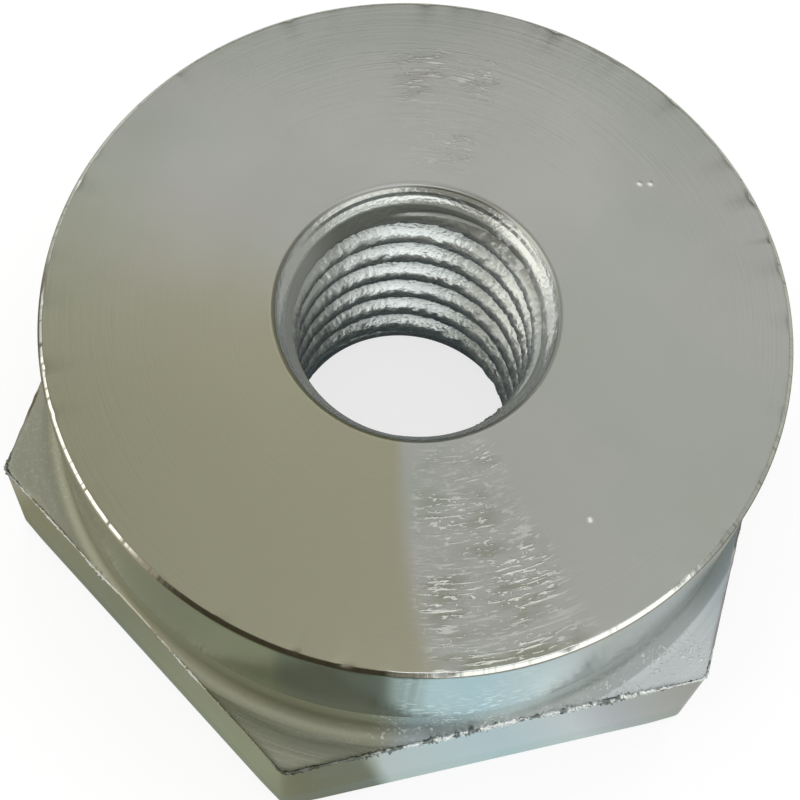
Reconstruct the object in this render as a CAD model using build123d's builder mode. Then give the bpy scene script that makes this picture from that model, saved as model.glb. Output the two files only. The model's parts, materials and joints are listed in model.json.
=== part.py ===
from build123d import *

import os
from math import radians, sqrt, tan

# Hex weld nut: one solid piece of free-cutting steel.
#
# It is parted off a hexagonal bar. The lower end keeps the bar's six flats, and the rest is
# turned down to a round collar that is only just inside them. The collar locates the nut in
# a round hole, the hexagon stops it at the sheet and is welded there, and a screw passes
# through the tapped bore.
#
# The frame: millimetres, +Z up along the thread, with the origin at the middle of the flat
# underside. Two corners of the hexagon lie on the X axis.

# ---------------------------------------------------------------- driving dimensions (mm)

# Metric coarse thread M12
thread_diameter = 12.0
thread_pitch = 1.75

# The hexagon
across_flats = 32.0
hex_height = 6.5
hex_edge_radius = 0.5          # the drawn bar's six long edges are a little rounded

# The collar
collar_height = 8.0
collar_inset = 0.25            # how far the collar lies inside the flats, on each side
shoulder_radius = 0.7          # left by the nose of the turning tool
collar_edge_break = 0.2        # small chamfer round the top face

# The light chamfer that only takes the points off the six corners at the underside
bearing_overhang = 1.6         # how far the flat bearing circle reaches past the flats
bearing_chamfer_angle = 30.0   # degrees from the underside

# The steep countersinks that lead the screw in, one at each end of the bore. Their mouths are
# as wide as the thread, so the angle alone says how deep they go.
countersink_angle = 60.0       # degrees between opposite sides

# ---------------------------------------------------------------- worked out from these

overall_height = hex_height + collar_height
corner_radius = across_flats / sqrt(3)
collar_radius = across_flats / 2 - collar_inset
bearing_radius = across_flats / 2 + bearing_overhang
bearing_chamfer_height = (corner_radius - bearing_radius) * tan(radians(bearing_chamfer_angle))

# The bore is drilled to the crests of the internal thread. A 60 degree thread that is cut
# to 5/8 of its full depth on each side stands that far inside the nominal diameter.
full_thread_depth = thread_pitch * sqrt(3) / 2
bore_radius = thread_diameter / 2 - full_thread_depth * 5 / 8
mouth_radius = thread_diameter / 2

# ---------------------------------------------------------------- the nut

with BuildPart() as hex_weld_nut:
    # A short length of hexagonal bar
    with BuildSketch(Plane.XY) as bar_section:
        RegularPolygon(radius=across_flats / 2, side_count=6, major_radius=False)
        fillet(bar_section.vertices(), radius=hex_edge_radius)
    extrude(amount=overall_height)

    # Turning leaves what lies inside this half section: the chamfered underside, the
    # shoulder, and the collar above it. The shoulder's fillet is wider than the flats, so
    # each flat cuts it short and runs straight into the collar's wall.
    with BuildSketch(Plane.XZ) as turned_section:
        with BuildLine():
            Polyline(
                (0, 0),
                (bearing_radius, 0),
                (corner_radius, bearing_chamfer_height),
                (corner_radius, hex_height),
                (collar_radius, hex_height),
                (collar_radius, overall_height),
                (0, overall_height),
                close=True,
            )
        make_face()
        shoulder = turned_section.vertices().sort_by_distance((collar_radius, hex_height))[0]
        fillet(shoulder, radius=shoulder_radius)
        top_edge = turned_section.vertices().sort_by_distance((collar_radius, overall_height))[0]
        chamfer(top_edge, length=collar_edge_break)
    revolve(axis=Axis.Z, mode=Mode.INTERSECT)

    # The bore, countersunk from the top face and from the underside
    with Locations(Plane.XY.offset(overall_height), -Plane.XY):
        CounterSinkHole(
            radius=bore_radius,
            counter_sink_radius=mouth_radius,
            counter_sink_angle=countersink_angle,
        )

hex_weld_nut.part.label = "hex_weld_nut"

# ---------------------------------------------------------------- output

os.makedirs("parts", exist_ok=True)
export_step(hex_weld_nut.part, "parts/hex_weld_nut.step")

print(f"collar {2 * collar_radius:.2f} diameter, {overall_height:.2f} overall")
print(f"bore {2 * bore_radius:.3f}, mouths {2 * mouth_radius:.2f}")
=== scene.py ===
# %% [markdown]
# # A hex weld nut, dressed in zinc
#
# The nut is one piece of steel: a low hexagon, a round collar turned above it, and a tapped bore
# right through. The solid model already has the true sizes, but its bore is a plain drilled wall
# and its edges are perfect. This lesson builds one closed surface in its place, with a real
# helical thread, eased edges and a burr, and then gives each face the finish that its own tool
# left under the zinc, with light and shade painted into many of its colours.

# %% Load the solid nut as the frame
import json
import math

import bpy
import numpy as np
from mathutils import Matrix, Vector


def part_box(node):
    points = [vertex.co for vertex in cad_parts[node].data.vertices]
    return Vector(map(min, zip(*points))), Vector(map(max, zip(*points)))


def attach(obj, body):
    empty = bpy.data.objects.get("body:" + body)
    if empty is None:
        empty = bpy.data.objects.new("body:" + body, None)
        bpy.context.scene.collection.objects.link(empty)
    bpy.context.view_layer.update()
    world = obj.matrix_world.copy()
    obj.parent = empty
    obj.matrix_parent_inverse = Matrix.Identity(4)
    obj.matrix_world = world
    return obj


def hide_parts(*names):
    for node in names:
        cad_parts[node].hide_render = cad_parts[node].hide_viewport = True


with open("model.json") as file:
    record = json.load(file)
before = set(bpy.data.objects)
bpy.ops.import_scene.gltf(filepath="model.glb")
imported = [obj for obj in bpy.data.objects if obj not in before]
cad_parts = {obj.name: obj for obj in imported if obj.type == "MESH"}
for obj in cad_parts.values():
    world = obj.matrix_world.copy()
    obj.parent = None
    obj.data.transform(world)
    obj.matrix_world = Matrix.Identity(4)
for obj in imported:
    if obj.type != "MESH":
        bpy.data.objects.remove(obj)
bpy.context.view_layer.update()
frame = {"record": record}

NUT = "hex_weld_nut"

# %% [markdown]
# ## Sizes
#
# What the solid model knows is read from it: its box, its bore and the straight wall of its
# collar. Only what those cannot tell is named here, such as the pitch. Shapes are worked out in
# millimetres, and turned into metres when a mesh is made. Directions round the axis are in
# degrees from +X.

# %% Sizes in millimetres
MM = 0.001

_, nut_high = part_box(NUT)
mounts = {mount["name"]: mount for mount in frame["record"]["mounts"]}
thread_dims = mounts["thread"]["dims"]
collar_dims = mounts["collar"]["dims"]

overall_height = nut_high[2] / MM
apothem = nut_high[1] / MM
corner_reach = nut_high[0] / MM
bore_radius = thread_dims["r_mm"]
bore_low = mounts["thread"]["pos_m"][2] / MM - thread_dims["length_mm"] / 2
bore_high = bore_low + thread_dims["length_mm"]
sink_slope = math.tan(math.radians(30))
lower_mouth_radius = bore_radius + bore_low * sink_slope
upper_mouth_radius = bore_radius + (overall_height - bore_high) * sink_slope
collar_radius = collar_dims["r_mm"]
collar_wall_top = mounts["collar"]["pos_m"][2] / MM + collar_dims["length_mm"] / 2
collar_wall_foot = collar_wall_top - collar_dims["length_mm"]
edge_break = overall_height - collar_wall_top

thread_pitch = 1.75
thread_depth = thread_pitch * math.sqrt(3) / 2 * 5 / 8
shoulder_radius = 0.7
bearing_radius = apothem + 1.6
bearing_slope = math.tan(math.radians(30))
lower_edge_break = 0.12

FRONT = 249.5
RIGHT = FRONT + 90
BACK = FRONT - 180

hex_height = collar_wall_foot - shoulder_radius
corner_excess = 1 / math.cos(math.radians(30))
hex_edge_radius = (apothem * corner_excess - corner_reach) / (corner_excess - 1)

print(f"{2 * apothem:.2f} across flats, {overall_height:.2f} high, hexagon {hex_height:.2f} high")
print(f"collar {2 * collar_radius:.2f}, bore {2 * bore_radius:.3f}")
print(f"mouths {2 * upper_mouth_radius:.2f} and {2 * lower_mouth_radius:.2f}")

# %% [markdown]
# ## One surface from two parameters
#
# A nut with a hole through it has the topology of a ring, so one grid of two parameters covers
# it without a pole: the angle round the axis, and the distance along the outline of its section.
# The outline is not the same at every angle, because the hexagon is not round, so each point of
# it is worked out for all angles at once, as an array. A boolean cut could give the same forms,
# but it leaves ragged triangles just where the light shows most, along the edges.

# %% The columns: angles round the axis
FLAT_STEPS = 26
CORNER_STEPS = 3
CORNER_GUARD = math.radians(0.3)
SIXTH = math.radians(60)
HALF_SIXTH = math.radians(30)


def corner_half_angle():
    """Half the angle, seen from the axis, that one rounded corner of the hexagon takes up."""
    flat_half_length = (apothem - hex_edge_radius) * math.tan(HALF_SIXTH)
    return HALF_SIXTH - math.atan2(flat_half_length, apothem)


def column_angles():
    """Angles of all columns: in each sixth of a turn, a few on the rounded corner, one close
    outside it to keep its shading tight, and the rest evenly along the flats."""
    rounded = corner_half_angle()
    on_corner = np.linspace(0, rounded, CORNER_STEPS + 1)
    on_flat = np.linspace(rounded + CORNER_GUARD, HALF_SIXTH, FLAT_STEPS + 1)
    half = np.concatenate([on_corner, on_flat])
    sector = np.concatenate([-half[:0:-1], half[:-1]])
    return np.concatenate([sector + k * SIXTH for k in range(6)])


def hexagon_radius(angle):
    """Distance from the axis to the hexagon. Along a flat it is apothem / cos(b), with b the angle
    from the middle of the flat. On a corner's circle it is c cos(a) + sqrt(rho^2 - c^2 sin^2(a)),
    with a the angle from the corner, c the distance of the circle's centre and rho its radius."""
    from_corner = np.abs((angle + HALF_SIXTH) % SIXTH - HALF_SIXTH)
    flat = apothem / np.cos(HALF_SIXTH - from_corner)
    centre = (apothem - hex_edge_radius) * corner_excess
    inside = np.maximum(hex_edge_radius**2 - (centre * np.sin(from_corner)) ** 2, 0)
    corner = centre * np.cos(from_corner) + np.sqrt(inside)
    return np.where(from_corner < corner_half_angle(), corner, flat)


angles = column_angles()
print(len(angles), "columns, reach", hexagon_radius(angles).min(), "to", hexagon_radius(angles).max())

# %% [markdown]
# ## The outline of the section
#
# The outline starts at the mouth of the bore in the underside and goes out, up and in again to
# the mouth in the top face. Each point is a pair of arrays, radius and height, with one value
# for each column. At the bottom, a 30 degree chamfer takes only the points off the hexagon, and
# elsewhere a small break is all that is left of it. At the top, the flat ends in a narrow ledge
# that runs into the shoulder. Along the middle of each side there is no ledge left, and the flat
# cuts straight into the shoulder's curve.

# %% Points of the outline, for every column
def everywhere(radius, height):
    """A point of the outline that is the same at every angle."""
    return np.stack([np.full(len(angles), radius), np.full(len(angles), height)])


def blend(start, end, share):
    """The point that lies the given share of the way from start to end."""
    return start + (end - start) * share


hexagon = hexagon_radius(angles)
shoulder_reach = collar_radius + shoulder_radius
into_shoulder = np.maximum(shoulder_reach - hexagon, 0)
shoulder_start = np.arcsin(into_shoulder / shoulder_radius)
ledge_width = np.maximum(hexagon - shoulder_reach, 0)

bearing_edge = np.stack([np.minimum(hexagon - lower_edge_break, bearing_radius),
                         np.zeros(len(angles))])
chamfer_top = np.stack([hexagon, np.maximum((hexagon - bearing_radius) * bearing_slope,
                                            lower_edge_break)])
flat_top = np.stack([hexagon, hex_height + shoulder_radius * (1 - np.cos(shoulder_start))])


def over_the_ledge(distance):
    """The point this far past the top of the flat: first straight in along the ledge, and then
    up the quarter circle of the shoulder."""
    on_ledge = np.minimum(distance, ledge_width)
    turned = shoulder_start + (distance - on_ledge) / shoulder_radius
    radius = np.where(distance < ledge_width, hexagon - distance,
                      shoulder_reach - shoulder_radius * np.sin(turned))
    height = np.where(distance < ledge_width, hex_height,
                      hex_height + shoulder_radius * (1 - np.cos(turned)))
    return np.stack([radius, height])


ledge_to_wall = ledge_width + (math.pi / 2 - shoulder_start) * shoulder_radius
print(f"ledge up to {ledge_width.max():.2f} wide, none at {np.mean(ledge_width == 0):.0%} of angles")

# %% [markdown]
# ## Eased edges
#
# No edge on a real part is sharp, and it is the thin bright line along an eased edge that makes
# metal look like metal. Each edge gets its own amount, so the easing is built into the rows: a
# corner P of the outline is replaced by the curve (1-t)^2 A + 2t(1-t) P + t^2 B, from a point A
# just before it to a point B just after it. One more row on each side, close by, keeps the
# smooth shading of the edge off the wide faces.

# %% Rows round an eased corner
EASE_STEPS = 4
GUARD = 0.05


def toward(start, end, distance):
    """The point this far from start on the way to end, but never more than 0.45 of the way."""
    way = end - start
    length = np.maximum(np.hypot(way[0], way[1]), 1e-9)
    return start + way / length * np.minimum(distance, 0.45 * length)


def curve(first, corner, last):
    """Rows along the quadratic curve from first to last that bends toward the corner."""
    shares = [step / EASE_STEPS for step in range(EASE_STEPS + 1)]
    return [(1 - t) ** 2 * first + 2 * t * (1 - t) * corner + t**2 * last for t in shares]


def eased(before, corner, after, size):
    """Rows that round one corner: a guard row, the quadratic curve from A to B, a guard row."""
    return [toward(corner, before, size + GUARD),
            *curve(toward(corner, before, size), corner, toward(corner, after, size)),
            toward(corner, after, size + GUARD)]


def spread(start, end, count):
    """Rows that divide the way between two rows evenly, without the two."""
    return [blend(start, end, (k + 1) / (count + 1)) for k in range(count)]


# %% The rows of the outside, from the lower mouth to the top of the flats
SINK_ROW = 0.4
FACE_ROW = 0.25
LOWER_MOUTH_EASE = 0.08
UPPER_MOUTH_EASE = 0.16
BURR_EASE = 0.05
EDGE_EASE = 0.06
RIM_EASE = 0.025

lower_mouth = everywhere(lower_mouth_radius, 0)
wall_foot = everywhere(collar_radius, collar_wall_foot)
wall_top = everywhere(collar_radius, collar_wall_top)
face_edge = everywhere(collar_radius - edge_break, overall_height)
upper_mouth = everywhere(upper_mouth_radius, overall_height)
in_lower_sink = everywhere(lower_mouth_radius - SINK_ROW * sink_slope, SINK_ROW)
in_upper_sink = everywhere(upper_mouth_radius - SINK_ROW * sink_slope, overall_height - SINK_ROW)

outside = []
zones = []


def add(zone, rows):
    """Adds rows to the outside, and notes which finish the faces above each row have."""
    outside.extend(rows)
    zones.extend([zone] * len(rows))


UNDERSIDE, FLATS, SHOULDER, WALL, RIM, FACE, BORE = range(7)

add(UNDERSIDE, eased(in_lower_sink, lower_mouth, bearing_edge, LOWER_MOUTH_EASE)[1:])
add(UNDERSIDE, spread(outside[-1], toward(bearing_edge, lower_mouth, EDGE_EASE + GUARD), 4))
add(UNDERSIDE, eased(lower_mouth, bearing_edge, chamfer_top, EDGE_EASE))
add(UNDERSIDE, spread(outside[-1], toward(chamfer_top, bearing_edge, EDGE_EASE + GUARD), 2))
add(UNDERSIDE, eased(bearing_edge, chamfer_top, flat_top, EDGE_EASE))
flat_end = toward(flat_top, chamfer_top, BURR_EASE + GUARD)
add(FLATS, spread(outside[-1], flat_end, 3))
print(len(outside), "rows up to the top of the flats")

# %% The rows of the ledge, the shoulder, the collar and the top face
add(FLATS, [toward(flat_top, chamfer_top, BURR_EASE + 4 * GUARD), flat_end])
add(FLATS, curve(toward(flat_top, chamfer_top, BURR_EASE), flat_top,
                 over_the_ledge(np.full(len(angles), BURR_EASE))))

past_burr = np.full(len(angles), BURR_EASE + GUARD)
ledge_end = np.maximum(ledge_width, past_burr)
ledge_shares = (0, 0.1, 0.25, 0.5, 0.75)
shoulder_shares = (0, 1 / 6, 2 / 6, 3 / 6, 4 / 6, 5 / 6, 1)
add(SHOULDER, [over_the_ledge(blend(past_burr, ledge_end, share)) for share in ledge_shares])
add(SHOULDER, [over_the_ledge(blend(ledge_end, ledge_to_wall, share)) for share in shoulder_shares])
add(WALL, spread(wall_foot, toward(wall_top, wall_foot, EDGE_EASE + GUARD), 4))
add(WALL, eased(wall_foot, wall_top, face_edge, EDGE_EASE)[:4])
add(RIM, eased(wall_foot, wall_top, face_edge, EDGE_EASE)[4:])
add(RIM, eased(wall_top, face_edge, upper_mouth, RIM_EASE)[:4])
add(FACE, eased(wall_top, face_edge, upper_mouth, RIM_EASE)[4:])
add(FACE, [toward(face_edge, upper_mouth, FACE_ROW)])
add(FACE, spread(outside[-1], toward(upper_mouth, face_edge, UPPER_MOUTH_EASE + GUARD), 6))
add(FACE, eased(face_edge, upper_mouth, in_upper_sink, UPPER_MOUTH_EASE)[:-1])
outside = np.stack(outside)
print(len(outside), "rows on the outside")

# %% [markdown]
# ## The thread
#
# An internal metric thread is a 60 degree groove that climbs one pitch in each turn. Its
# depth at a height z and an angle a depends only on the phase z / pitch - a / turn: nothing on the
# crest, an even slope down each flank, and full depth on the root. Rows at even heights would
# cut across the crests and show as saw teeth, so each row climbs with the thread. After a whole
# turn, a row meets the one that started a pitch higher, and the two edges of the grid are welded
# there. Above and below, the surplus rows fall together on the mouths and are welded too.
#
# The crests are a little torn, as a tap leaves them in soft steel, and zinc has rounded every
# edge of the profile. Toward each mouth the groove runs out into the countersink. The upper one
# is not quite straight: on one side, where the burr was scraped off, it has a flatter band near
# the mouth.

# %% Rows that climb with the thread
phases = np.array([-0.45, -0.40, -0.34, -0.25, -0.17, -0.12, -0.07, -0.02, 0.03,
                   0.08, 0.13, 0.19, 0.27, 0.35, 0.41, 0.46, 0.5])
CREST_HALF = 0.125
ROOT_HALF = 0.0625
ROUNDING = 0.07
THREAD_START = 0.18
TORN = 0.05
RUN_OUT_BELOW = (0.25, 0.95)
RUN_OUT_ABOVE = (13.15, 13.75)


def groove_depth(phase):
    """How deep the thread is cut at a phase, from 0 on the crest to 1 on the root: flat, even and
    flat again, and then the mean over a little to each side, which rounds the edges."""
    depths = []
    for offset in np.linspace(-ROUNDING, ROUNDING, 9):
        from_crest = np.abs((phase + offset + 0.5) % 1 - 0.5)
        depths.append(np.clip((from_crest - CREST_HALF) / (0.5 - CREST_HALF - ROOT_HALF), 0, 1))
    return np.mean(depths, axis=0)


def rise(value, low, high):
    """0 up to low, 1 from high on, and 3 t^2 - 2 t^3 between them."""
    t = np.clip((value - low) / (high - low), 0, 1)
    return t * t * (3 - 2 * t)


def waves(angle, seed, lowest, highest):
    """A smooth random line round the nut: a sum of sines of whole numbers of waves to the turn,
    each with a random height and start, scaled to a standard deviation of one."""
    random = np.random.default_rng(seed)
    numbers = np.arange(lowest, highest + 1)
    heights = random.normal(size=len(numbers))
    starts = random.uniform(0, 2 * math.pi, len(numbers))
    total = (heights[:, None] * np.sin(np.multiply.outer(numbers, angle).reshape(len(numbers), -1)
                                       + starts[:, None])).sum(axis=0)
    return (total / np.sqrt((heights**2).sum() / 2)).reshape(np.shape(angle))


# %% The surface of the bore
lower_drop = LOWER_MOUTH_EASE * math.cos(math.atan(sink_slope))
upper_drop = UPPER_MOUTH_EASE * math.cos(math.atan(sink_slope))
SINK_FROM = (12.7, 13.1)
LIP_FROM = (13.75, 13.95)
SCRAPED_BAND = [(12.0, 4.60), (12.95, 5.053), (13.93, 5.47), (14.17, 5.80),
                (overall_height - upper_drop, upper_mouth_radius - upper_drop * sink_slope)]
TORN_FINE = (5, 16, 90)
TORN_BROAD = (6, 3, 9)


def bore_surface(row_phase, angle):
    """The bore at a row's phase and an angle: the height is pitch x (phase + angle / turn + start),
    held between the two mouths. The radius is the largest of three there, the thread's and each
    countersink's."""
    height = thread_pitch * (row_phase + angle / (2 * math.pi) + THREAD_START)
    height = np.clip(height, lower_drop, overall_height - upper_drop)
    turn = height / thread_pitch - angle / (2 * math.pi) - THREAD_START
    run_out = rise(height, *RUN_OUT_BELOW) * (1 - rise(height, *RUN_OUT_ABOVE))
    depth = groove_depth(turn)
    torn = waves(angle + 0.6 * height, *TORN_FINE) * waves(angle - 0.9 * height, *TORN_BROAD)
    torn = TORN * np.clip(torn, -1, 1) * (1 - depth) ** 3
    radius = bore_radius + (thread_depth * depth + torn) * run_out
    heights, radii = zip(*SCRAPED_BAND)
    plain_cone = upper_mouth_radius - (overall_height - height) * sink_slope
    scraped = rise(np.cos(angle - math.radians(BACK)), -0.6, 0.3)
    upper_cone = plain_cone + (np.interp(height, heights, radii) - plain_cone) * scraped
    lower_cone = lower_mouth_radius - height * sink_slope
    return np.maximum(radius, np.maximum(upper_cone, lower_cone)), height


turns = math.ceil(overall_height / thread_pitch) + 1
row_phases = (np.arange(-1, turns)[:, None] + phases[None, :]).ravel()
bore_angles = np.append(angles, angles[0] + 2 * math.pi)
bore_r, bore_z = bore_surface(row_phases[:, None], bore_angles[None, :])
print(len(row_phases), "rows in the bore,", turns, "turns")

# %% [markdown]
# ## Nicks round the rim
#
# Knocks in the parts bin have left small nicks round the rim, and the turning tool has lifted the
# upper edges of the flats a little. Both are moves of the rows near an edge: a random line
# round the nut, times a bell curve of the distance from the edge.

# %% Cut the nicks
NICK_DEPTH = 0.03
NICK_REACH = 0.12
NICK_WAVES = (13, 30, 140)
LIFT = 0.03
LIFT_REACH = 0.09
LIFT_WAVES = (11, 20, 120)


def bell(points, centre, reach):
    """1 on the edge, falling off as exp(-(d / reach)^2) with the distance d from it."""
    distance = np.hypot(points[:, 0] - centre[0], points[:, 1] - centre[1])
    return np.exp(-((distance / reach) ** 2))


nick_line = np.clip(waves(angles, *NICK_WAVES) - 0.8, 0, 2)
nick = NICK_DEPTH * nick_line * bell(outside, face_edge, NICK_REACH)
lift = LIFT * np.abs(waves(angles, *LIFT_WAVES)) * bell(outside, flat_top, LIFT_REACH)
outside[:, 1] += lift - nick
outside[:, 0] += 0.4 * lift - nick
print(f"nicks up to {nick.max():.3f}, edges of the flats lifted up to {lift.max():.3f}")

# %% [markdown]
# ## Weld it into one closed mesh
#
# Both grids become vertices in metres. Points that coincide are joined, and faces with fewer than
# three corners left are dropped, so that the mesh is closed everywhere.

# %% Join the two grids
WELD = 1e-5


def in_space(radius, height, angle):
    """Vertices in metres from radius and height in millimetres, and an angle."""
    points = np.stack([radius * np.cos(angle), radius * np.sin(angle),
                       np.broadcast_to(height, radius.shape)], axis=-1)
    return points.reshape(-1, 3) * MM


def grid_faces(row_count, column_count, offset, closed):
    """Four-sided faces of a grid that is stored row by row. A closed one joins its last column
    to its first."""
    columns = np.arange(column_count if closed else column_count - 1)
    following = (columns + 1) % column_count
    row = np.arange(row_count - 1)[:, None] * column_count + offset
    faces = np.stack([row + columns, row + following,
                      row + following + column_count, row + columns + column_count], axis=-1)
    return faces.reshape(-1, 4)


def welded(vertices, faces):
    """Joins vertices that are the same to WELD millimetres. Returns those kept, the faces, which
    of their corners repeat the one before, and which faces are sound."""
    keys = np.round(vertices / (MM * WELD)).astype(np.int64)
    _, kept, renamed = np.unique(keys, axis=0, return_index=True, return_inverse=True)
    faces = renamed.reshape(-1)[faces]
    repeated = faces == np.roll(faces, 1, axis=1)
    opposite = (faces[:, 0] == faces[:, 2]) | (faces[:, 1] == faces[:, 3])
    sound = (repeated.sum(axis=1) <= 1) & ~opposite
    return vertices[kept], faces, repeated, sound


outer = in_space(outside[:, 0], outside[:, 1], angles[None, :])
inner = in_space(bore_r[::-1], bore_z[::-1], bore_angles[None, :])
outer_faces = grid_faces(len(outside), len(angles), 0, closed=True)
inner_faces = grid_faces(len(row_phases), len(bore_angles), len(outer), closed=False)
face_zones = np.concatenate([np.repeat(zones[:-1], len(angles)), np.full(len(inner_faces), BORE)])

vertices, faces, repeated, sound = welded(np.concatenate([outer, inner]),
                                          np.concatenate([outer_faces, inner_faces]))
corners = ~repeated[sound]
loop_vertices = faces[sound][corners]
loop_totals = corners.sum(axis=1)
face_zones = face_zones[sound]


# %% Make the mesh
def linked(name, data):
    """An object of the scene with this name and this data."""
    made = bpy.data.objects.new(name, data)
    bpy.context.scene.collection.objects.link(made)
    return made


def new_piece(name, vertices, loop_vertices, loop_totals, zones):
    """An object with a mesh from flat arrays: the faces' corners, how many each face has, and
    the place of its finish in the list of materials."""
    mesh = bpy.data.meshes.new(name)
    mesh.vertices.add(len(vertices))
    mesh.vertices.foreach_set("co", np.ravel(vertices))
    mesh.loops.add(len(loop_vertices))
    mesh.loops.foreach_set("vertex_index", loop_vertices)
    mesh.polygons.add(len(loop_totals))
    mesh.polygons.foreach_set("loop_start", np.cumsum(loop_totals) - loop_totals)
    mesh.polygons.foreach_set("loop_total", loop_totals)
    mesh.polygons.foreach_set("material_index", zones)
    mesh.polygons.foreach_set("use_smooth", np.ones(len(loop_totals), dtype=bool))
    mesh.update(calc_edges=True)
    mesh.validate(verbose=True)
    print(name, len(mesh.vertices), "vertices,", int((loop_totals - 2).sum()), "triangles")
    return linked(name, mesh)


nut = new_piece("zinc_plated_nut", vertices, loop_vertices, loop_totals, face_zones)

# %% [markdown]
# ## The burr
#
# The tool that turned the collar pushed a ragged burr over the top edge of each flat. It is far
# finer than the columns of the nut, so it is a piece of its own: a thin bead that follows the
# edge all the way round, half sunk in it. Its section is an octagon whose corners each move in and
# out by a random line, and it swells where the tool cut deepest.

# %% The bead along the top edge of the hexagon
BURR_COLUMNS = 1500
BURR_SIDES = 8
BURR_SIZE = 0.17
BURR_LEAST = 0.012
BURR_SUNK = (0.03, 0.01)
BURR_EVEN = 0.06
BURR_SWELLS = [(272, 0.82, 0.12, 1.0), (206, 0.87, 0.06, 0.2)]
BURR_DRIFT = (21, 3, 40)
BURR_SEED = 30


def burr_surface(angle, around):
    """The bead at an angle round the nut and one round its section: edge + size x (outwards,
    up), with size = least + most x swell x (0.35 + 0.5 |wave|), and a random wave for each side.
    Each entry of BURR_SWELLS is a direction, the cosine from it where the bead begins to swell,
    the change of the cosine until it has swollen, and how much."""
    hexagon = hexagon_radius(angle)
    start = np.arcsin(np.maximum(shoulder_reach - hexagon, 0) / shoulder_radius)
    edge_height = hex_height + shoulder_radius * (1 - np.cos(start))
    swell = BURR_EVEN
    for direction, begins, span, most in BURR_SWELLS:
        toward_it = np.cos(angle - math.radians(direction))
        swell = swell + most * np.clip((toward_it - begins) / span, 0, 1)
    swell = np.clip(swell + 0.22 * waves(angle, *BURR_DRIFT), 0, 1.3)
    rough = np.stack([np.abs(waves(angle, BURR_SEED + k, 60, 700)) for k in range(len(around))])
    size = BURR_LEAST + BURR_SIZE * swell * np.clip(0.35 + 0.5 * rough, 0, 1.6)
    radius = hexagon - BURR_SUNK[0] + size * np.cos(around)[:, None] * 0.75
    height = edge_height - BURR_SUNK[1] + size * np.sin(around)[:, None]
    return radius, height


burr_angles = np.linspace(0, 2 * math.pi, BURR_COLUMNS, endpoint=False)
burr_around = np.linspace(0, 2 * math.pi, BURR_SIDES + 1)[:-1]
burr_r, burr_z = burr_surface(burr_angles, burr_around)
burr_r, burr_z = (np.concatenate([grid, grid[:1]]) for grid in (burr_r, burr_z))
burr_grid = in_space(burr_r, burr_z, burr_angles[None, :])
burr_faces = grid_faces(BURR_SIDES + 1, BURR_COLUMNS, 0, closed=True)
burr_points, burr_faces, _, burr_sound = welded(burr_grid, burr_faces)
burr = new_piece("burr", burr_points, burr_faces[burr_sound].ravel(),
                 np.full(burr_sound.sum(), 4), np.zeros(burr_sound.sum(), dtype=int))

# %% [markdown]
# ## A short way to write shader nodes
#
# A finish is mostly arithmetic on a few patterns, and a page of node calls hides it. The class
# below wraps the output of a node, so that sums on it read like sums on numbers: each operator
# adds the Math node that does it. Every other kind of node comes from one method, `node`.

# %% The wrapper
def operator(operation, turned=False):
    """A method of a wire that adds one Math node. Turned, it takes the other operand first."""
    def method(wire, other):
        operands = (other, wire) if turned else (wire, other)
        return wire.node("ShaderNodeMath", {"operation": operation}, dict(enumerate(operands)))

    return method


class Wire:
    """The output of a shader node, that can be added, multiplied and so on."""

    def __init__(self, tree, socket=None):
        self.tree = tree
        self.socket = socket

    def node(self, kind, settings=None, inputs=None, output=0):
        """Adds a node of this kind, sets its settings, then its inputs, which are numbers,
        colours or other wires by name or place, and returns the wire from one output."""
        made = self.tree.nodes.new(kind)
        for name, value in (settings or {}).items():
            if name == "stops":
                ramp = made.color_ramp
                while len(ramp.elements) < len(value):
                    ramp.elements.new(1.0)
                for stop, (place, colour) in zip(ramp.elements, value):
                    stop.position = place
                    stop.color = colour
            else:
                setattr(made, name, value)
        for name, value in (inputs or {}).items():
            if isinstance(value, Wire):
                self.tree.links.new(value.socket, made.inputs[name])
            else:
                made.inputs[name].default_value = value
        return Wire(self.tree, made.outputs[output])

    __add__ = __radd__ = operator("ADD")
    __sub__ = operator("SUBTRACT")
    __rsub__ = operator("SUBTRACT", turned=True)
    __mul__ = __rmul__ = operator("MULTIPLY")
    __truediv__ = operator("DIVIDE")
    __pow__ = operator("POWER")
    at_most = operator("MINIMUM")

    def between(self, low, high):
        """0 up to low, 1 from high on, and a smooth rise between the two."""
        settings = {"interpolation_type": "SMOOTHSTEP"}
        return self.node("ShaderNodeMapRange", settings,
                         {"Value": self, "From Min": low, "From Max": high})

    def within(self, low, high, soft):
        """1 from low to high, with soft borders outside them."""
        return self.between(low - soft, low) * (1 - self.between(high, high + soft))


def mix(share, low, high):
    """A colour that lies the share, a wire, of the way from low to high."""
    settings = {"data_type": "RGBA", "clamp_factor": True}
    return share.node("ShaderNodeMix", settings, {0: share, 6: low, 7: high}, output=2)


def rgb(red, green, blue):
    """A colour for a socket, from linear values."""
    return (red, green, blue, 1.0)


print("a wire can:", [name for name in vars(Wire) if not name.startswith("__")])

# %% [markdown]
# ## Where a point lies on the nut
#
# All patterns are read from the object's own coordinates, so they stay on the metal when the
# nut is turned. The useful ones here are the distance from the axis and the direction from it,
# as a unit vector, because an angle jumps at half a turn and would leave a seam.

# %% Object coordinates in millimetres
def in_millimetres(tree):
    """Wires of an object's own coordinates in millimetres: all three at once, then each."""
    metres = Wire(tree).node("ShaderNodeTexCoord", output="Object")
    place = metres.node("ShaderNodeVectorMath", {"operation": "SCALE"}, {0: metres, "Scale": 1 / MM})
    parts = place.node("ShaderNodeSeparateXYZ", inputs={0: place}).socket.node.outputs
    return [place] + [Wire(tree, parts[axis]) for axis in "XYZ"]


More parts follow.
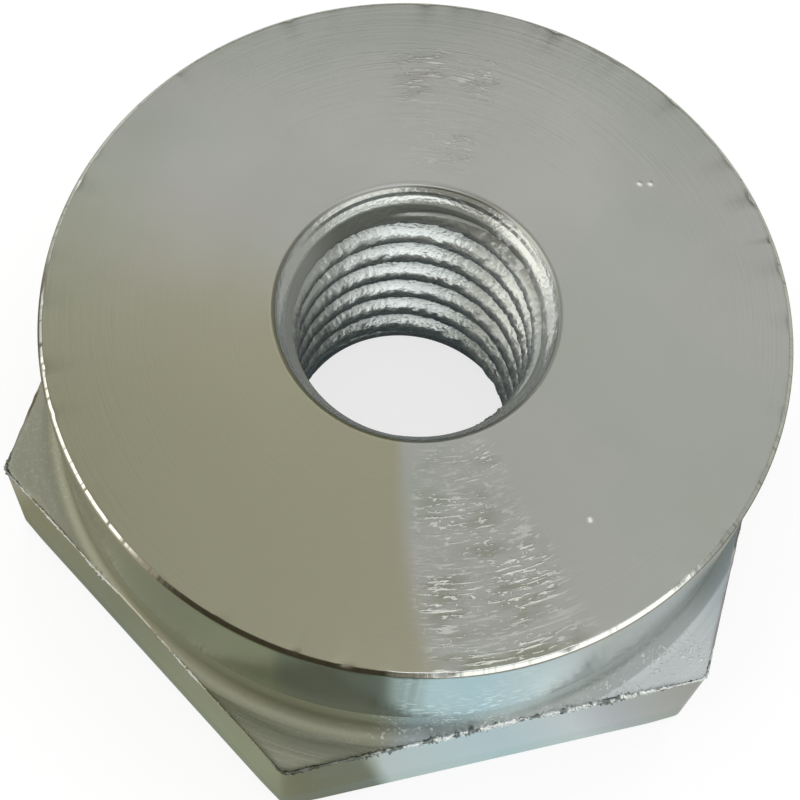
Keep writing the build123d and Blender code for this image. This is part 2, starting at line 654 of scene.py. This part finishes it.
class Finish:
    """A new material with a Principled shader, and the places on the nut to draw it by."""

    def __init__(self, name, roughness):
        self.material = bpy.data.materials.new(name)
        self.material.use_nodes = True
        self.tree = self.material.node_tree
        self.shader = self.tree.nodes["Principled BSDF"]
        self.shader.inputs["Metallic"].default_value = 1.0
        self.shader.inputs["Roughness"].default_value = roughness
        self.place, self.x, self.y, self.z = in_millimetres(self.tree)
        self.radius = (self.x * self.x + self.y * self.y) ** 0.5

    def vector(self, x, y, z):
        """A vector from three wires or numbers."""
        return self.x.node("ShaderNodeCombineXYZ", inputs={0: x, 1: y, 2: z})

    def noise(self, scale, detail, place=None):
        """A noise pattern, from about 0 to 1, with this many cells to the unit."""
        return self.x.node("ShaderNodeTexNoise", {"normalize": True},
                           {"Vector": place or self.place, "Scale": scale, "Detail": detail,
                            "Roughness": 0.5}, output="Fac")

    def turned(self, across, along, lift=0.0, detail=3.0):
        """A noise pattern that is stretched round the axis: across counts its cells per
        millimetre from the axis outwards, lift those up it, and along those per radian."""
        place = self.vector(self.radius * across + self.z * lift,
                            self.x / self.radius * along, self.y / self.radius * along)
        return self.noise(1.0, detail, place)

    def toward(self, degrees):
        """How far a point faces this way round the axis: 1 straight at it, -1 straight away."""
        angle = math.radians(degrees)
        return (self.x * math.cos(angle) + self.y * math.sin(angle)) / self.radius

    def near(self, x, y, z, reach):
        """A soft spot: 1 at a place in millimetres, 0 from this far off it."""
        offset = self.place.node("ShaderNodeVectorMath", {"operation": "DISTANCE"},
                                 {0: self.place, 1: (x, y, z)}, output="Value")
        return 1 - offset.between(0.0, reach)

    def sector(self, degrees, half_width, soft):
        """1 within so many degrees of one direction from the axis, 0 from a soft border on."""
        return self.toward(degrees).between(math.cos(math.radians(half_width + soft)),
                                            math.cos(math.radians(half_width)))

    def feed(self, name, wire):
        """Leads a wire to a socket of the shader."""
        self.tree.links.new(wire.socket, self.shader.inputs[name])

    def done(self, colour, roughness, height, relief):
        """The material, with this colour, roughness and height. Relief is how many millimetres
        high a height of 1 stands."""
        self.feed("Base Color", colour)
        self.feed("Roughness", roughness)
        self.feed("Normal", height.node("ShaderNodeBump", inputs={
            "Height": height, "Distance": relief * MM, "Strength": 1.0}))
        return self.material


print("one unit of a pattern's place is a millimetre")

# %% [markdown]
# ## The faced top
#
# The top face was cut by a tool that moved slowly to the axis while the bar turned, so its marks
# are very fine rings. Zinc hides most of them. On the side where the rings catch the light, short
# bright streaks along them are painted glints, with painted shade between them. The colour is a
# neutral grey with soft clouds of pink and green, and a darker tan painted shade on one side that
# ends at a sharp line, where the painted highlight begins.

# %% Colours of the zinc, and of the light and shade painted on it
COOL_GREY = rgb(0.448, 0.458, 0.430)
PINK_CLOUD = rgb(0.455, 0.448, 0.428)
GREEN_CLOUD = rgb(0.41, 0.44, 0.385)
# Painted shade: the darker tan side of the top face, outside the painted highlight.
TAN_PAINTED_SHADE = rgb(0.392, 0.382, 0.272)
# Painted shade between the painted glints on the top face.
SHADE_BETWEEN_GLINTS = rgb(0.27, 0.28, 0.20)
# Painted glints along the rings of the top face.
GLINT_ZINC = rgb(0.93, 0.94, 0.86)
# Bright zinc, also used for painted glints on dents and scuffs.
BRIGHT_ZINC = rgb(0.86, 0.90, 0.88)
PALE_GREY = rgb(0.47, 0.485, 0.47)
# A painted reflection on the flats: pale grey on the lit side, olive shade on the other.
FLAT_LIT_GREY = rgb(0.440, 0.415, 0.420)
FLAT_OLIVE_SHADE = rgb(0.395, 0.365, 0.275)
# Painted shade: olive, as of a shaded floor mirrored in the collar and shoulder.
OLIVE_SHADE = rgb(0.41, 0.41, 0.32)
# Painted shade: a deeper olive band on the collar.
DEEP_OLIVE_SHADE = rgb(0.20, 0.24, 0.22)
MOSS = rgb(0.33, 0.42, 0.28)
# Painted reflection: blue, as of a lit floor mirrored on the other side.
BLUE_LIT_REFLECTION = rgb(0.43, 0.485, 0.50)
# Painted reflection: a paler blue patch on the collar and shoulder.
PALE_BLUE_REFLECTION = rgb(0.64, 0.68, 0.68)
ROSE = rgb(0.50, 0.45, 0.46)
# Painted shade and a painted highlight on the rim, and painted highlights on its beads.
RIM_SHADE = rgb(0.20, 0.19, 0.14)
RIM_SHADE_PALER = rgb(0.30, 0.28, 0.22)
RIM_HIGHLIGHT = rgb(0.95, 0.96, 0.93)
BEAD_HIGHLIGHT = rgb(0.95, 0.95, 0.90)
THREAD_FLANK = rgb(0.80, 0.83, 0.81)
# Painted shade down in the grooves of the thread.
THREAD_ROOT_SHADE = rgb(0.34, 0.37, 0.36)
NEAR_SINK = rgb(0.52, 0.53, 0.49)
# Painted shade on the far side of the countersink.
FAR_SINK_SHADE = rgb(0.26, 0.27, 0.24)
# A painted highlight on the lip of the upper mouth, and a painted shade line under it.
LIP_HIGHLIGHT = rgb(0.80, 0.82, 0.79)
LIP_SHADE_LINE = rgb(0.12, 0.13, 0.12)
# A thin painted highlight line on the far countersink.
THIN_HIGHLIGHT_LINE = rgb(0.85, 0.87, 0.85)
# Painted highlight patches on the right side of the bore.
RIGHT_HIGHLIGHT_PATCH = rgb(0.84, 0.86, 0.83)
# The burr: painted shade in its gaps and at one corner, a painted highlight along the left, painted
# glints on its flecks.
BURR_GAP_SHADE = rgb(0.26, 0.29, 0.28)
LEFT_BURR_HIGHLIGHT = rgb(0.80, 0.79, 0.68)
CORNER_BURR_SHADE = rgb(0.13, 0.13, 0.10)
BURR_GLINT = rgb(0.95, 0.98, 0.97)
print("the top face is", COOL_GREY[:3], "and its tan side", TAN_PAINTED_SHADE[:3])


# %% The finish of the top face
def faced_top():
    """Satin zinc with fine rings, painted glint streaks, and a tan painted shade that ends in a sharp
    line.
    """
    finish = Finish("zinc_faced", 0.3)
    clouds = finish.noise(0.16, 3.0)
    tints = finish.noise(0.11, 2.0, finish.vector(finish.x + 40.0, finish.y, finish.z))
    past_line = finish.toward(RIGHT) - 0.016 * (finish.radius - 6.0)
    in_front = finish.toward(FRONT).between(0.15, 0.5)
    # Painted shade on one side of the top face, ending at a sharp line where the painted highlight
    # begins.
    tan_shade_side = finish.toward(FRONT - 28).between(-0.15, 0.9)
    tan_shade_side = tan_shade_side * (1 - past_line.between(-0.05, 0.05) * in_front)
    lit_side = past_line.between(-0.03, 0.035) * finish.sector(FRONT + 20, 26, 24)
    base = mix(tints.within(0.55, 1.0, 0.12) * 0.7, COOL_GREY, PINK_CLOUD)
    base = mix(tints.within(0.0, 0.42, 0.12) * 0.6, base, GREEN_CLOUD)
    base = mix(tan_shade_side + (clouds - 0.5) * 0.3, base, TAN_PAINTED_SHADE)
    # Painted glints along the rings in the lit sector, and painted shade between them.
    rubbed, shaded = painted_glint_streaks(finish, lit_side)
    base = mix(shaded, base, SHADE_BETWEEN_GLINTS)
    rings = finish.turned(9.0, 3.0)
    return finish.done(mix(rubbed, base, GLINT_ZINC), 0.3 + (clouds - 0.5) * 0.1 - rubbed * 0.08,
                       rings * 0.25 + rubbed * 0.7 - shaded * 0.5, relief=0.02)


def painted_glint_streaks(finish, lit_side):
    """Masks of the painted glints along the rings, and of the painted shade between them."""
    radius = finish.radius
    patch = finish.sector(FRONT + 19, 8, 8) * radius.within(7.0, 15.3, 1.0)
    patch = patch * (0.1 + 0.9 * lit_side)
    patch = patch + finish.sector(BACK, 5, 9) * radius.within(7.5, 12.5, 1.0) * 0.4
    crowd = 0.25 + finish.noise(0.4, 2.0).between(0.40, 0.56) * 0.75
    outer = 0.65 + 0.35 * radius.between(9.5, 12.5)
    long = finish.turned(8.0, 9.0).between(0.555, 0.635)
    short = finish.turned(8.5, 26.0, detail=2.0).between(0.58, 0.65)
    dots = finish.noise(4.0, 1.0).between(0.68, 0.73)
    bright = (long * 0.8 + short * 0.8 + dots).at_most(1.0)
    dark = finish.turned(1.6, 4.0).between(0.42, 0.62)
    glints = finish.near(10.9, 3.8, overall_height, 0.2)
    glints = glints + finish.near(11.35, 3.7, overall_height, 0.2)
    glints = glints + finish.near(4.4, -10.6, overall_height, 0.18)
    spread_out = patch * crowd * outer
    return bright * spread_out + glints, dark * (1 - bright) * spread_out * 0.7


# %% [markdown]
# ## The turned collar
#
# The collar's marks run round it, too fine to see one by one. Its colour is a painted reflection:
# blue as of a lit floor on one side, olive shade on the other, and painted glints on small dents
# on the blue side.

# %% The finish of the collar's wall
def turned_wall():
    """Smooth zinc with a painted reflection from olive shade to blue, a few streaks down it, and
    painted glints on flecks on its blue side.
    """
    finish = Finish("zinc_turned", 0.17)
    # Painted reflection: olive shade on one side, blue as of a lit floor on the other, then a deep
    # olive painted shade and a pale blue painted reflection in two sectors.
    lit_floor_side = finish.toward(RIGHT).between(0.06, 0.13)
    clouds = finish.noise(0.35, 3.0)
    base = mix(lit_floor_side, OLIVE_SHADE, BLUE_LIT_REFLECTION)
    base = mix(finish.sector(FRONT - 3, 9, 3) * 0.9, base, DEEP_OLIVE_SHADE)
    base = mix(finish.sector(FRONT + 40, 9, 9), base, PALE_BLUE_REFLECTION)
    base = mix(finish.near(-9.4, -12.6, 9.3, 2.4) * 0.8, base, MOSS)
    base = mix(clouds.between(0.5, 0.7) * finish.sector(295, 12, 10) * 0.8, base, ROSE)
    streaks = finish.sector(255.0, 0.15, 0.35) + finish.sector(256.6, 0.1, 0.3)
    place = finish.vector(finish.x * 2.5 + finish.z * 1.9, finish.z * 4.2, finish.y * 2.5)
    # Painted glints on small dents, only in the sector where they catch the light.
    flecks = finish.noise(1.0, 3.0, place).between(0.52, 0.58)
    where = finish.sector(281, 25, 5) * (0.3 + finish.noise(0.5, 1.0).between(0.4, 0.6) * 0.7)
    where = where * (1 - finish.z.between(9.5, 12.0) * 0.85)
    marks = flecks * where + streaks * 0.1
    rings = finish.turned(0.0, 2.0, 9.0)
    return finish.done(mix(marks, base, BRIGHT_ZINC), 0.15 + clouds * 0.08,
                       rings * 0.4 + marks * 1.2 + clouds * 2.0, relief=0.006)


# %% The finish of the shoulder and the ledge
def shoulder_finish():
    """The same painted reflection of olive shade and blue, with the end marks of the turning tool,
    and painted glints on scuffs behind the burr.
    """
    finish = Finish("zinc_shoulder", 0.2)
    # Painted reflection, olive shade and blue, as on the collar.
    lit_floor_side = finish.toward(RIGHT).between(0.03, 0.13)
    base = mix(lit_floor_side, OLIVE_SHADE, BLUE_LIT_REFLECTION)
    base = mix(finish.sector(FRONT + 38, 14, 12) * 0.8, base, PALE_BLUE_REFLECTION)
    rings = finish.turned(5.0, 1.5, 5.0, detail=2.0)
    # Painted glints on scuffs, only in the sector where they catch the light.
    scuff_glints = finish.noise(6.5, 3.0).between(0.54, 0.64)
    where = finish.sector(276, 18, 14) * finish.noise(0.8, 2.0).between(0.35, 0.65)
    where = where + finish.sector(180, 5, 6) * 0.08 + 0.03
    marks = scuff_glints * where
    hollow = 1 - finish.radius.between(shoulder_reach - 0.1, shoulder_reach + 0.05)
    return finish.done(mix(marks, base, BRIGHT_ZINC), 0.24 + rings * 0.08 + hollow * 0.3,
                       rings * 0.5 + marks, relief=0.01)


# %% [markdown]
# ## Flats, rim, underside and thread
#
# The flats still have the skin of the drawn bar, with faint lines along it, and a painted
# reflection, pale on one side and olive shade on the other. The rim is where the facing tool broke
# the edge, and it is a little beaded: a painted highlight on part of it, painted shade on the rest,
# and painted highlights on the beads. The underside is faced as the top is, but nothing has rubbed
# it. The thread has the ragged, shiny skin that a tap leaves, with painted shade in its grooves and
# painted light and shade round its upper mouth.

# %% The finish of the flats
def drawn_flats():
    """Drawn bar under zinc, lines along it; a painted reflection, pale one side and olive shade the
    other.
    """
    finish = Finish("zinc_drawn", 0.14)
    # Painted reflection: olive shade on one side of the flats, pale grey on the other.
    lit_floor_side = finish.toward(RIGHT).between(0.03, 0.07)
    lines = finish.noise(1.0, 3.0, finish.vector(finish.x * 4.0, finish.y * 4.0, finish.z * 0.4))
    clouds = finish.noise(0.3, 3.0)
    base = mix(lit_floor_side, FLAT_OLIVE_SHADE, FLAT_LIT_GREY)
    base = mix(clouds.between(0.52, 0.75) * 0.4, base, PALE_GREY)
    specks = finish.noise(6.0, 1.0).between(0.68, 0.74)
    specks = specks * finish.z.between(hex_height - 1.2, hex_height)
    return finish.done(mix(specks * 0.7, base, BRIGHT_ZINC), 0.12 + clouds * 0.06,
                       lines * 0.6 + specks + clouds * 1.5, relief=0.006)


# %% The finishes of the rim, the underside, the thread and the burr
def faced_underside():
    """Zinc that nothing has rubbed, with the rings of the facing tool."""
    finish = Finish("zinc_underside", 0.28)
    clouds = finish.noise(0.4, 3.0)
    return finish.done(mix(clouds.between(0.35, 0.65), COOL_GREY, PALE_GREY), 0.24 + clouds * 0.08,
                       finish.turned(6.0, 3.0), relief=0.006)


def rim_light_and_shade():
    """A painted highlight on the right and at the back, painted shade on the rest, and painted
    highlights on the beads where the left side ends.
    """
    finish = Finish("zinc_rim", 0.16)
    marks = finish.turned(1.0, 70.0, 1.0)
    # Painted highlight on the right and at the back of the rim, painted shade elsewhere, painted
    # highlights on the beads.
    upper = finish.z.between(overall_height - edge_break * 0.85, overall_height - edge_break * 0.7)
    bright = finish.toward(RIGHT).between(0.03, 0.06) + finish.toward(FRONT).between(0.1, -0.1)
    inner = finish.z.between(overall_height - edge_break * 0.6, overall_height - edge_break * 0.4)
    beads = finish.sector(FRONT - 62, 18, 8) * marks.between(0.3, 0.48) * inner
    base = mix(marks, RIM_SHADE, RIM_SHADE_PALER)
    base = mix(bright * upper, base, mix(marks.between(0.2, 0.5), PALE_GREY, RIM_HIGHLIGHT))
    return finish.done(mix(beads, base, BEAD_HIGHLIGHT), 0.14 + marks * 0.08, marks, relief=0.006)


def tapped_bore():
    """Torn shiny flanks, painted shade in the grooves and on the far countersink, painted highlights
    round the mouth.
    """
    finish = Finish("zinc_thread", 0.2)
    torn = finish.turned(4.0, 24.0, 4.0)
    clouds = finish.noise(0.5, 3.0)
    in_groove = finish.radius.between(bore_radius + 0.2, bore_radius + 0.85)
    on_lip = finish.z.between(*LIP_FROM)
    in_sink = finish.z.between(*SINK_FROM) * (1 - on_lip)
    # Painted shade down in the grooves.
    base = mix(in_groove, THREAD_FLANK, THREAD_ROOT_SHADE)
    base = mix(clouds.between(0.4, 0.7) * 0.4, base, PALE_GREY)
    far_side = finish.sector(BACK, 40, 30)
    # Painted shade on the far countersink, a painted highlight on the lip and a painted shade line
    # under it.
    base = mix(in_sink, base, mix(far_side, NEAR_SINK, FAR_SINK_SHADE))
    base = mix(on_lip, base, LIP_HIGHLIGHT)
    lip_line = finish.radius.within(5.70, 5.79, 0.03) * finish.z.between(13.9, 14.0)
    base = mix(lip_line * far_side * 0.9, base, LIP_SHADE_LINE)
    # A thin painted highlight line on the far countersink.
    highlight_line = finish.z.within(13.24, 13.32, 0.05) * finish.sector(FRONT + 172, 14, 14)
    base = mix(highlight_line * 0.8, base, THIN_HIGHLIGHT_LINE)
    # Painted highlight patches on the right side of the bore, in a noise pattern.
    right_side = finish.sector(FRONT + 120, 24, 14)
    place = finish.vector(finish.x * 1.2 + finish.z * 1.6, finish.y * 3.0, finish.z * 1.2)
    scraped = finish.noise(1.0, 3.0, place).between(0.48, 0.68)
    finish.feed("Metallic", 0.85 - in_sink * 0.3 - (0.15 + scraped * 0.3) * right_side)
    return finish.done(mix(scraped * right_side, base, RIGHT_HIGHLIGHT_PATCH),
                       0.2 + clouds * 0.08 + in_sink * 0.12, torn, relief=0.035)


def sparkling_burr():
    """Torn metal: painted glints on flecks, painted shade in the gaps, a painted highlight along the
    left.
    """
    finish = Finish("zinc_burr", 0.25)
    # Painted glints on flecks in the sector where they catch the light, a painted highlight along the
    # left, painted shade in the gaps and at one corner.
    flecks = finish.noise(2.2, 2.0).between(0.38, 0.50)
    left_side = finish.sector(210, 22, 8)
    flecks = flecks * (0.1 + 0.9 * finish.sector(280, 23, 8) + 0.5 * left_side)
    dull = mix(left_side, BURR_GAP_SHADE, LEFT_BURR_HIGHLIGHT)
    dull = mix(finish.sector(242, 7, 5), dull, CORNER_BURR_SHADE)
    finish.feed("Metallic", 1.0 - flecks * 0.35 - left_side * 0.6)
    return finish.done(mix(flecks, dull, BURR_GLINT), 0.4 - flecks * 0.2,
                       finish.noise(5.0, 2.0), relief=0.03)


# In the order of the zones
for make in (faced_underside, drawn_flats, shoulder_finish, turned_wall, rim_light_and_shade, faced_top,
             tapped_bore):
    nut.data.materials.append(make())
burr.data.materials.append(sparkling_burr())
print("finishes:", [material.name for material in nut.data.materials])

# %% Tell the frame what the new pieces are
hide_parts(NUT)
for piece in (nut, burr):
    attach(piece, "root")

# %% [markdown]
# ## The camera
#
# The nut is seen from close by and from well above. The camera is placed by where its axis meets
# the top face, how far off it stands, from what side and height, and how far it is tilted. Side 0
# is -Y, and it grows toward +X.

# %% Set up the camera
AIM = Vector((-3.271, -1.746, overall_height)) * MM
CAMERA_DISTANCE = 72.69 * MM
CAMERA_SIDE = math.radians(-16.06)
CAMERA_HEIGHT = math.radians(64.34)
CAMERA_TILT = math.radians(3.31)
LENS = 79.72
SHIFT = (0.0625, -0.05)

lens_data = bpy.data.cameras.new("camera")
lens_data.lens = LENS
lens_data.shift_x, lens_data.shift_y = SHIFT
lens_data.clip_start = 1 * MM
camera = linked("camera", lens_data)
outwards = Vector((math.sin(CAMERA_SIDE) * math.cos(CAMERA_HEIGHT),
                   -math.cos(CAMERA_SIDE) * math.cos(CAMERA_HEIGHT), math.sin(CAMERA_HEIGHT)))
look = (-outwards).to_track_quat("-Z", "Y").to_matrix().to_4x4()
roll = Matrix.Rotation(CAMERA_TILT, 4, "Z")
camera.matrix_world = Matrix.Translation(AIM + outwards * CAMERA_DISTANCE) @ look @ roll
bpy.context.scene.camera = camera
print("camera at", camera.matrix_world.translation / MM)

# %% The floor and the world
FLOOR_HALF = 3.0
PAPER_GREY = 0.35
PAPER_GLOW = 0.76
ROOM_LIGHT = 0.8


def seen_directly(tree):
    """1 for rays that come from the camera, or from it by way of a mirror or glass."""
    path = Wire(tree).node("ShaderNodeLightPath").socket.node.outputs
    camera_ray, glossy_ray, through_glass = (
        Wire(tree, path[f"Is {kind} Ray"]) for kind in ("Camera", "Glossy", "Transmission"))
    return (camera_ray + glossy_ray + through_glass).at_most(1.0)


def simple_piece(name, points, faces, material):
    """An object from listed points and faces, with one material."""
    data = bpy.data.meshes.new(name)
    data.from_pydata(points, [], faces)
    data.materials.append(material)
    return linked(name, data)


def level_square(name, half, height, material):
    """A square with the nut's axis in its middle, from half its side and its height in metres."""
    corners = [(-half, -half, height), (half, -half, height),
               (half, half, height), (-half, half, height)]
    return simple_piece(name, corners, [(0, 1, 2, 3)], material)


def add_floor():
    """A wide pale sheet that the nut stands on."""
    paper = bpy.data.materials.new("white_paper")
    paper.use_nodes = True
    shader = paper.node_tree.nodes["Principled BSDF"]
    shader.inputs["Base Color"].default_value = rgb(PAPER_GREY, PAPER_GREY, PAPER_GREY)
    shader.inputs["Roughness"].default_value = 0.9
    shader.inputs["Specular IOR Level"].default_value = 0.0
    shader.inputs["Emission Color"].default_value = rgb(1, 1, 1)
    glow = seen_directly(paper.node_tree) * PAPER_GLOW
    paper.node_tree.links.new(glow.socket, shader.inputs["Emission Strength"])
    floor = level_square("floor", FLOOR_HALF, 0, paper)


def set_world():
    """A white world that lights the nut evenly, and is pure white where it is seen."""
    world = bpy.data.worlds.new("white_room")
    world.use_nodes = True
    bpy.context.scene.world = world
    tree = world.node_tree
    background = tree.nodes["Background"]
    background.inputs["Color"].default_value = rgb(1, 1, 1)
    strength = ROOM_LIGHT + seen_directly(tree) * (1 - ROOM_LIGHT)
    tree.links.new(strength.socket, background.inputs["Strength"])


add_floor()
set_world()
view_settings = bpy.context.scene.view_settings
view_settings.view_transform = "Standard"
print("view transform:", view_settings.view_transform)

# %% [markdown]
# ## Something to mirror
#
# Metal shows what stands round it, and in an all white room the nut would be white and flat. So
# cards are hung round it: soft windows where it should be bright, and grey or dark ones where it
# should be deep. Each is a patch of a large sphere about the nut, given by its sides and its
# heights in degrees. The cards are only for mirrors: they cast no shadow and light no floor.

# %% Cards round the nut
NUT_FRONT = math.radians(FRONT - 270)
CARD_DISTANCE = 0.3
CARD_STEPS = 16
middle = Vector((0, 0, overall_height)) * MM


def only_for_mirrors(card):
    """Hides a card from all but reflections."""
    card.visible_camera = False
    card.visible_diffuse = False
    card.visible_shadow = False


def glowing(name, tint):
    """A material that gives off light of a colour, or of the one that a function makes."""
    material = bpy.data.materials.new(name)
    material.use_nodes = True
    tree = material.node_tree
    tree.nodes.clear()
    colour = tint(tree) if callable(tint) else tint
    glow = Wire(tree).node("ShaderNodeEmission", inputs={"Color": colour, "Strength": 1.0})
    out = tree.nodes.new("ShaderNodeOutputMaterial")
    tree.links.new(glow.socket, out.inputs["Surface"])
    return material


def add_card(name, sides, heights, colour):
    """A patch of the sphere: middle + R (sin s cos h, -cos s cos h, sin h), for sides s from the
    front, to the right, and heights h."""
    side = np.radians(np.linspace(*sides, CARD_STEPS))[None, :] + NUT_FRONT
    height = np.radians(np.linspace(*heights, CARD_STEPS))[:, None]
    points = np.stack(np.broadcast_arrays(np.sin(side) * np.cos(height),
                                          -np.cos(side) * np.cos(height), np.sin(height)), axis=-1)
    points = points.reshape(-1, 3) * CARD_DISTANCE + np.array(middle)
    faces = grid_faces(CARD_STEPS, CARD_STEPS, 0, closed=False)
    card = simple_piece(name, points.tolist(), faces.tolist(), glowing(name, colour))
    only_for_mirrors(card)


cards = [
    ("far_scrim", (148, 212), (49, 59), (1.22, 1.22, 1.22)),
    ("middle_scrim", (148, 212), (59, 67), (0.80, 0.80, 0.79)),
    ("near_scrim", (148, 212), (67, 80), (0.62, 0.62, 0.61)),
    ("back_flag", (148, 212), (2, 48), (0.16, 0.16, 0.14)),
    ("left_window", (-97, -50), (-3, 54), (1.35, 1.33, 1.22)),
    ("left_back_flag", (-146, -99), (10, 72), (0.45, 0.46, 0.44)),
    ("right_window", (15, 68), (-1, 17), (1.25, 1.25, 1.18)),
    ("front_flag", (-49, 14), (-1, 36), (0.13, 0.125, 0.09)),
    ("right_flag", (70, 146), (-4, 58), (0.30, 0.305, 0.28)),
    ("upper_right_flag", (15, 69), (18, 36), (0.32, 0.35, 0.33)),
    ("front_softbox", (-22, 42), (42, 60), (1.42, 1.48, 1.48)),
    ("front_left_scrim", (-62, -23), (37, 60), (0.52, 0.52, 0.46)),
    ("overhead_left_flag", (-125, 8), (61, 84), (0.28, 0.295, 0.26)),
]
for name, sides, heights, colour in cards:
    add_card(name, sides, heights, rgb(*colour))
print(len(cards), "cards")

# %% [markdown]
# The sides of the nut lean neither up nor down, so from above they mirror the table close by.
# A glowing sheet lies there for them, seen only in reflections, with the nut's shadow painted on
# it: dark olive on the left, with a sharp edge to a painted lit floor in pale blue right of the
# middle. Under the bore it is a nearly black painted shadow, so that the crests of the thread
# turn dark between the bright flanks.

# %% The sheet under the nut, with its painted shadow
SHEET_HALF = 290.0
SHEET_LIFT = 0.02
SHEET_SPAN = 20.0
# Painted shadow of the nut under the bore, seen only in reflections.
SHADOW_UNDER_THE_BORE = rgb(0.05, 0.065, 0.07)
# Painted shadow of the nut on the left of the sheet, and a painted lit floor on the right.
sheet_stops = [(-20.0, (0.52, 0.50, 0.42)), (-18.0, (0.31, 0.31, 0.21)),
               (-15.8, (0.305, 0.32, 0.23)), (-12.5, (0.28, 0.305, 0.23)),
               (-9.2, (0.34, 0.37, 0.27)), (-5.0, (0.36, 0.40, 0.29)), (-1.8, (0.28, 0.30, 0.23)),
               (1.0, (0.27, 0.31, 0.26)), (1.7, (0.72, 0.86, 0.84)), (4.6, (0.71, 0.90, 0.92)),
               (6.8, (0.67, 0.88, 0.93)), (10.0, (0.80, 0.92, 0.92)), (12.0, (0.64, 0.70, 0.71)),
               (14.0, (0.58, 0.62, 0.58)), (18.0, (0.47, 0.47, 0.41))]


def sheet_shadow_and_light(tree):
    """Painted shadow and lit floor by the distance to the right of the nut's middle, paler behind it,
    and a dark painted shadow under it.
    """
    place, x, y, _ = in_millimetres(tree)
    right = x * math.cos(NUT_FRONT) + y * math.sin(NUT_FRONT)
    front = x * math.sin(NUT_FRONT) - y * math.cos(NUT_FRONT)
    stops = [((at + SHEET_SPAN) / (2 * SHEET_SPAN), rgb(*tint)) for at, tint in sheet_stops]
    tint = right.node("ShaderNodeValToRGB", {"stops": stops},
                      {"Fac": (right + SHEET_SPAN) / (2 * SHEET_SPAN)})
    clouds = place.node("ShaderNodeTexNoise", {}, {"Vector": place, "Scale": 0.05, "Detail": 2.0})
    behind = mix(clouds.between(0.35, 0.65), rgb(0.33, 0.33, 0.27), rgb(0.52, 0.52, 0.46))
    tint = mix(1 - front.between(-10.0, -2.0), tint, behind)
    from_axis = (x * x + y * y) ** 0.5
    return mix(from_axis.between(6.8, 8.0), SHADOW_UNDER_THE_BORE, tint)


sheet = level_square("tinted_sheet", SHEET_HALF * MM, SHEET_LIFT * MM,
                     glowing("tinted_sheet", sheet_shadow_and_light))
only_for_mirrors(sheet)
print("sheet", 2 * SHEET_HALF, "mm wide")
